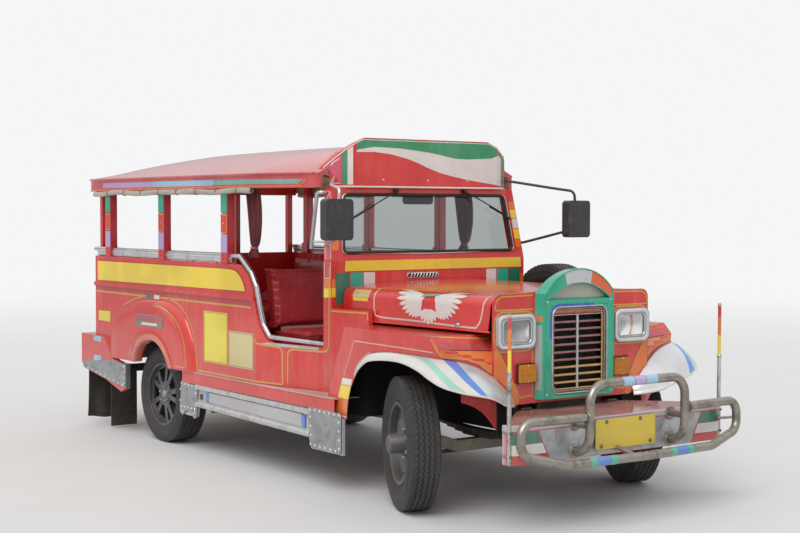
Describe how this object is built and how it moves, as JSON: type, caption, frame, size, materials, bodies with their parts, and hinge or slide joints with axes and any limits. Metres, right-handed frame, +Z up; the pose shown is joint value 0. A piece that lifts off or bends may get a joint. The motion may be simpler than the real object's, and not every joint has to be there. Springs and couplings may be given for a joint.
{
  "type": "jeepney",
  "caption": "Long-nosed open-sided passenger vehicle on a ladder frame, with steered front wheels, free-rolling wheels and a lifting hood.",
  "frame": {"origin": "centre of the overall bounding box in plan, at road level", "axes": "+X forward along the vehicle, +Y to its left, +Z up"},
  "size_m": [5.3349, 2.132, 2.185],
  "materials": {
    "painted_body": "gloss",
    "painted_roof": "gloss",
    "painted_dark": "satin",
    "painted_trim": "gloss",
    "painted_teal": "gloss",
    "chrome": "polished",
    "steel": "brushed",
    "wheel_silver": "satin",
    "wheel_dark": "satin",
    "iron": "rough",
    "tyre": "matte",
    "rubber": "matte",
    "glass": "clear",
    "amber": "gloss",
    "red_lens": "gloss",
    "black_plastic": "matte",
    "vinyl": "semi-gloss",
    "canvas": "matte",
    "curtain_cloth": "matte"
  },
  "bodies": {
    "body": {"chassis_frame": "painted_dark", "front_axle": "iron", "rear_axle": "iron", "leaf_springs": "iron", "engine": "iron", "propeller_shaft": "painted_dark", "exhaust": "steel", "fuel_tank": "painted_dark", "floor": "painted_body", "side_walls": "painted_body", "cowl": "painted_body", "dashboard": "black_plastic", "windscreen_frame": "painted_body", "windscreen_glass": "glass", "fenders": "painted_body", "fender_flares": "painted_trim", "front_fascia": "painted_body", "radiator_shell": "painted_teal", "grille": "chrome", "headlamps": "chrome", "headlamp_lenses": "glass", "turn_lamps": "amber", "front_bumper": "painted_body", "bull_bar": "steel", "marker_poles": "steel", "roof": "painted_roof", "sign_board": "painted_body", "roof_posts": "painted_body", "side_rails": "chrome", "seat_bases": "painted_body", "bench_cushions": "vinyl", "front_seats": "vinyl", "steering_column": "painted_dark", "mirrors": "black_plastic", "grab_rails": "chrome", "rear_bumper": "painted_body", "rear_frame": "painted_body", "tail_lamps": "red_lens", "mud_flaps": "rubber", "side_skirts": "painted_trim", "rolled_curtains": "canvas", "tied_curtains": "curtain_cloth", "spare_tyre": "tyre", "spare_rim": "wheel_silver", "tow_eye": "iron"},
    "knuckle_right": {"knuckle_right": "iron"},
    "knuckle_left": {"knuckle_left": "iron"},
    "tie_rod": {"tie_rod": "steel"},
    "front_wheel_right": {"front_tyre_right": "tyre", "front_rim_right": "wheel_silver"},
    "front_wheel_left": {"front_tyre_left": "tyre", "front_rim_left": "wheel_silver"},
    "rear_wheel_right": {"rear_tyre_right": "tyre", "rear_rim_right": "wheel_dark"},
    "rear_wheel_left": {"rear_tyre_left": "tyre", "rear_rim_left": "wheel_dark"},
    "hood": {"hood": "painted_body"},
    "steering_wheel": {"steering_wheel": "black_plastic"}
  },
  "joints": [
    {"name": "steer_right", "type": "hinge", "parent": "body", "child": "knuckle_right", "pos_m": [1.62, -0.73, 0.386], "axis": [0, 0, 1], "range_deg": [-10, 56]},
    {"name": "steer_left", "type": "hinge", "parent": "body", "child": "knuckle_left", "pos_m": [1.62, 0.73, 0.386], "axis": [0, 0, 1], "range_deg": [-10, 56]},
    {"name": "tie_rod_swing", "type": "hinge", "parent": "knuckle_right", "child": "tie_rod", "pos_m": [1.48192, -0.67139, 0.294], "axis": [0, 0, 1], "range_deg": [-56, 10]},
    {"name": "steering_wheel_turn", "type": "hinge", "parent": "body", "child": "steering_wheel", "pos_m": [0.345, 0.38, 1.232], "axis": [0.788, 0, -0.6157], "range_deg": [-896, 160]},
    {"name": "front_spin_right", "type": "hinge", "parent": "knuckle_right", "child": "front_wheel_right", "pos_m": [1.57702, -0.83126, 0.386], "axis": [0.3907, 0.9205, 0], "continuous": true},
    {"name": "front_spin_left", "type": "hinge", "parent": "knuckle_left", "child": "front_wheel_left", "pos_m": [1.66298, 0.83126, 0.386], "axis": [0.3907, 0.9205, 0], "continuous": true},
    {"name": "rear_spin_right", "type": "hinge", "parent": "body", "child": "rear_wheel_right", "pos_m": [-1.476, -0.767, 0.354], "axis": [0, 1, 0], "continuous": true},
    {"name": "rear_spin_left", "type": "hinge", "parent": "body", "child": "rear_wheel_left", "pos_m": [-1.476, 0.767, 0.354], "axis": [0, 1, 0], "continuous": true},
    {"name": "hood_open", "type": "hinge", "parent": "body", "child": "hood", "pos_m": [0.694, 0, 1.31], "axis": [0, -1, 0], "range_deg": [0, 55]}
  ],
  "couplings": [
    {"joint": "steer_left", "follows": "steer_right", "ratio": 1},
    {"joint": "tie_rod_swing", "follows": "steer_right", "ratio": -1},
    {"joint": "steering_wheel_turn", "follows": "steer_right", "ratio": -16}
  ]
}
